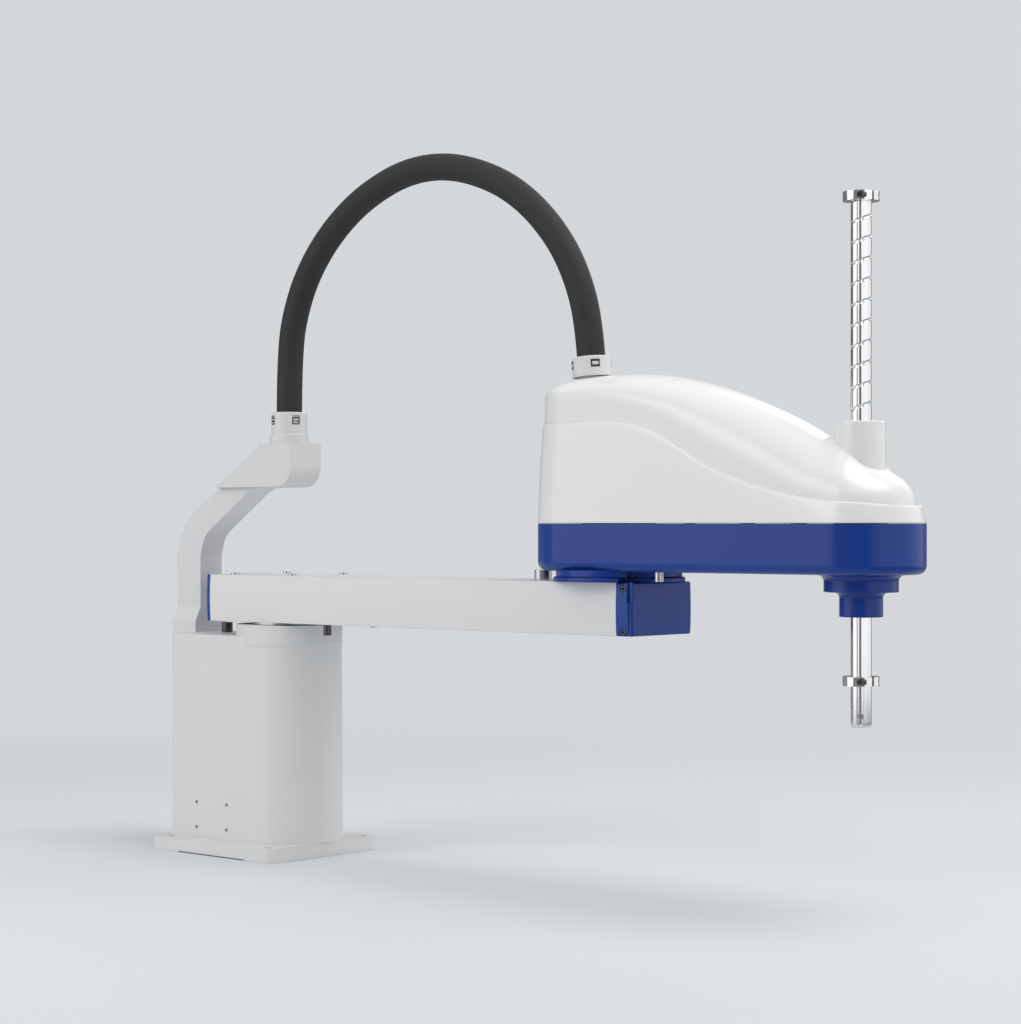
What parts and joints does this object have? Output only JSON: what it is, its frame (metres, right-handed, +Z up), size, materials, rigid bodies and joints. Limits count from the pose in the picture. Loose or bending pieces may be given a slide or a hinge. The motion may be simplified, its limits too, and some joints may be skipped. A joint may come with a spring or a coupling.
{
  "type": "scara robot",
  "caption": "Horizontal jointed-arm robot: a white column, a boxy inner arm, a blue and white outer arm with a splined vertical shaft, and a black cable hose arched over it.",
  "frame": {"origin": "on the shoulder joint's axis, on the flat underside of the base's foot plate", "axes": "+X along both arms from the shoulder to the shaft in the rest pose, +Y to the arms' left, +Z up"},
  "size_m": [1.0425, 0.176, 0.8],
  "materials": {
    "column_white": "satin",
    "arm_white": "satin",
    "cover_white": "gloss",
    "blue_paint": "gloss",
    "hose_black": "matte",
    "gland_plastic": "satin",
    "polished_steel": "polished",
    "bright_screws": "satin",
    "dark_steel": "satin",
    "machined_aluminium": "machined",
    "bearing_steel": "ground",
    "motor_black": "satin",
    "belt_rubber": "matte",
    "socket_black": "satin"
  },
  "bodies": {
    "base": {"base_column": "column_white", "rear_panel": "machined_aluminium", "power_socket": "socket_black", "signal_socket": "socket_black", "air_fittings": "bright_screws", "rear_panel_screws": "bright_screws", "cable_duct": "column_white", "duct_screws": "bright_screws", "duct_gland": "gland_plastic", "duct_gland_collar": "gland_plastic", "shoulder_reducer": "bearing_steel", "shoulder_motor": "motor_black", "shoulder_stop_post": "dark_steel", "hose_lower": "hose_black"},
    "inner_arm": {"shoulder_output_flange": "machined_aluminium", "shoulder_stop_pins": "dark_steel", "inner_arm_beam": "arm_white", "shoulder_block": "machined_aluminium", "elbow_block": "machined_aluminium", "shoulder_screws": "bright_screws", "inner_arm_rear_cap": "blue_paint", "rear_cap_screws": "bright_screws", "inner_arm_front_cap": "blue_paint", "front_cap_screws": "bright_screws", "elbow_ring_plate": "blue_paint", "elbow_hub": "machined_aluminium", "elbow_stop_post": "bright_screws"},
    "outer_arm": {"elbow_reducer": "bearing_steel", "elbow_motor": "motor_black", "elbow_stop_pins": "bright_screws", "outer_arm_tray": "blue_paint", "outer_arm_cover": "cover_white", "cover_gland": "gland_plastic", "cover_gland_collar": "gland_plastic", "quill_housing": "blue_paint", "spline_bearing": "bearing_steel", "lift_bearing": "bearing_steel", "bearing_bridge": "machined_aluminium", "motor_plate": "machined_aluminium", "roll_motor": "motor_black", "lift_motor": "motor_black", "roll_belt": "belt_rubber", "lift_belt": "belt_rubber", "shaft_wiper": "belt_rubber", "hose_upper": "hose_black"},
    "spline_nut": {"spline_nut": "dark_steel", "roll_pulley": "machined_aluminium"},
    "roll_motor_shaft": {"roll_motor_pulley": "machined_aluminium"},
    "lift_nut": {"lift_nut": "dark_steel", "lift_pulley": "machined_aluminium"},
    "lift_motor_shaft": {"lift_motor_pulley": "machined_aluminium"},
    "shaft": {"splined_shaft": "polished_steel", "upper_collar": "polished_steel", "lower_collar": "polished_steel", "upper_collar_screw": "dark_steel", "lower_collar_screw": "dark_steel"}
  },
  "joints": [
    {"name": "shoulder", "type": "hinge", "parent": "base", "child": "inner_arm", "pos_m": [0, 0, 0.27], "axis": [0, 0, 1], "range_deg": [-145, 145]},
    {"name": "elbow", "type": "hinge", "parent": "inner_arm", "child": "outer_arm", "pos_m": [0.5, 0, 0.33], "axis": [0, 0, 1], "range_deg": [-142, 142]},
    {"name": "roll", "type": "hinge", "parent": "outer_arm", "child": "spline_nut", "pos_m": [0.8, 0, 0.33], "axis": [0, 0, 1], "range_deg": [-360, 360]},
    {"name": "lift", "type": "slide", "parent": "spline_nut", "child": "shaft", "axis": [0, 0, 1], "range_m": [-0.18, 0.05]},
    {"name": "lift_nut_spin", "type": "hinge", "parent": "spline_nut", "child": "lift_nut", "pos_m": [0.8, 0, 0.38], "axis": [0, 0, 1], "range_deg": [-910, 3250]},
    {"name": "lift_motor_spin", "type": "hinge", "parent": "outer_arm", "child": "lift_motor_shaft", "pos_m": [0.592, 0, 0.38], "axis": [0, 0, 1], "range_deg": [-1820, 6500]},
    {"name": "roll_motor_spin", "type": "hinge", "parent": "outer_arm", "child": "roll_motor_shaft", "pos_m": [0.668, 0, 0.362], "axis": [0, 0, 1], "range_deg": [-725, 725]}
  ],
  "couplings": [
    {"joint": "lift_nut_spin", "follows": "lift", "rad_per_m": -314.16},
    {"joint": "lift_motor_spin", "follows": "lift", "rad_per_m": -628.32},
    {"joint": "roll_motor_spin", "follows": "roll", "ratio": 2}
  ]
}
